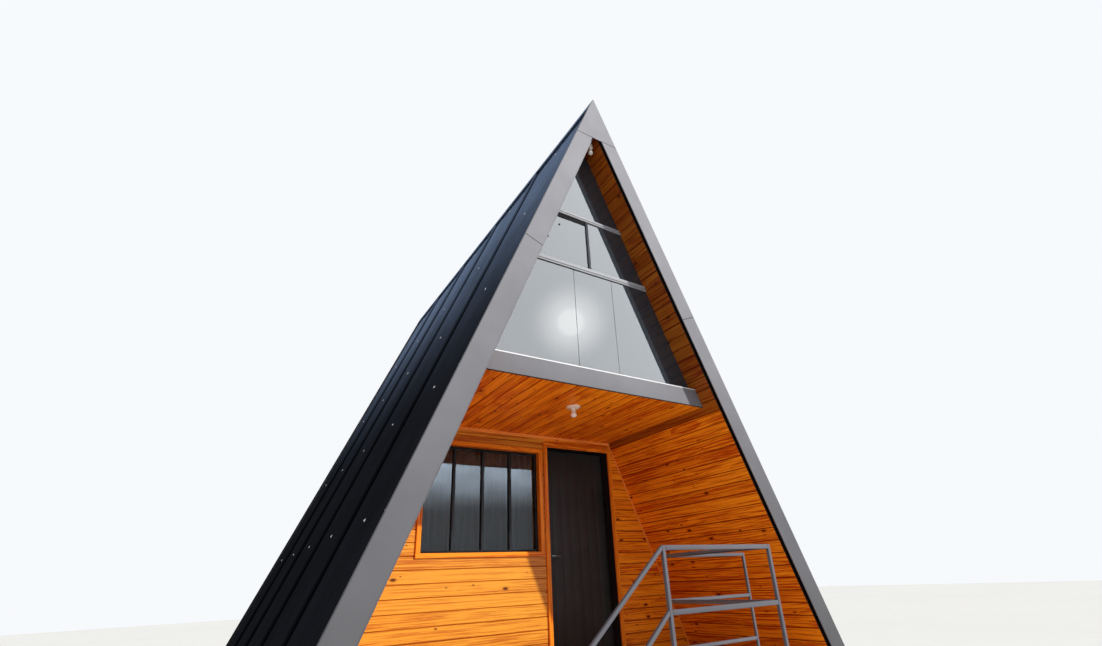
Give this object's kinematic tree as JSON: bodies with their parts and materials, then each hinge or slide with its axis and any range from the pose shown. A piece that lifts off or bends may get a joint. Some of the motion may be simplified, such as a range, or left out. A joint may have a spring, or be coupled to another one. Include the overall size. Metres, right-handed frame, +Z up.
{
  "type": "a-frame cabin",
  "caption": "A-frame timber cabin with ribbed metal roof to the ground, glazed gable, open porch with hinged door and window, landing, stair and guard.",
  "frame": {"origin": "middle of the footprint, landing included, at ground level", "axes": "+X to the right seen from the entrance, +Y from the entrance into the depth, +Z up"},
  "size_m": [5.182, 6.587, 6.17],
  "materials": {
    "roof_sheet": "dark grey factory paint, satin",
    "fascia_sheet": "mid grey paint, satin",
    "frame_timber": "sawn softwood",
    "lining_board": "orange varnish, satin",
    "wall_board": "orange varnish, satin",
    "trim_wood": "orange varnish, satin",
    "deck_board": "oiled boards",
    "pier_concrete": "cast concrete",
    "pane_glass": "clear, grey",
    "window_metal": "black paint, satin",
    "door_panel": "dark grey paint, matt",
    "handle_metal": "brushed",
    "curtain_cloth": "plain woven cloth",
    "lamp_plastic": "white, glossy",
    "guard_tube": "mid grey paint, satin"
  },
  "bodies": {
    "cabin": {"apex_lamp": "lamp_plastic", "apex_plate_front": "fascia_sheet", "apex_plate_rear": "fascia_sheet", "bearers": "frame_timber", "ceiling_boards": "lining_board", "curtain_rod": "window_metal", "door_jambs": "window_metal", "door_lintel": "window_metal", "door_trim": "trim_wood", "fascia_front_left": "fascia_sheet", "fascia_front_right": "fascia_sheet", "fascia_rear_left": "fascia_sheet", "fascia_rear_right": "fascia_sheet", "floor_joists": "frame_timber", "front_beam": "fascia_sheet", "front_gable_bars": "fascia_sheet", "front_gable_glass": "pane_glass", "guard_posts": "guard_tube", "guard_rails": "guard_tube", "hinge_pins": "handle_metal", "landing_deck": "deck_board", "landing_joists": "frame_timber", "landing_legs": "frame_timber", "lining_left": "lining_board", "lining_right": "lining_board", "loft_floor": "deck_board", "loft_joists": "frame_timber", "piers": "pier_concrete", "porch_deck": "deck_board", "porch_lamp": "lamp_plastic", "porch_wall_over_door": "wall_board", "porch_wall_right": "wall_board", "porch_wall_window_side": "wall_board", "purlins_left": "frame_timber", "purlins_right": "frame_timber", "rafters_left": "frame_timber", "rafters_right": "frame_timber", "rear_beam": "fascia_sheet", "rear_gable_bars": "fascia_sheet", "rear_gable_glass": "pane_glass", "rear_wall": "wall_board", "ridge_cap": "roof_sheet", "roof_sheets_left": "roof_sheet", "roof_sheets_right": "roof_sheet", "room_floor": "deck_board", "stair_stringers": "frame_timber", "stair_treads": "deck_board", "wall_trim": "trim_wood", "window_casing": "trim_wood", "window_curtain": "curtain_cloth", "window_frame": "window_metal", "window_panes": "pane_glass"},
    "door": {"door_leaf": "door_panel", "door_handle": "handle_metal", "hinge_knuckles": "handle_metal"}
  },
  "joints": [
    {"name": "door_hinge", "type": "hinge", "parent": "cabin", "child": "door", "pos_m": [1.10991, -0.5107, 1.78], "axis": [0, 0, -1], "range_deg": [0, 90]}
  ]
}
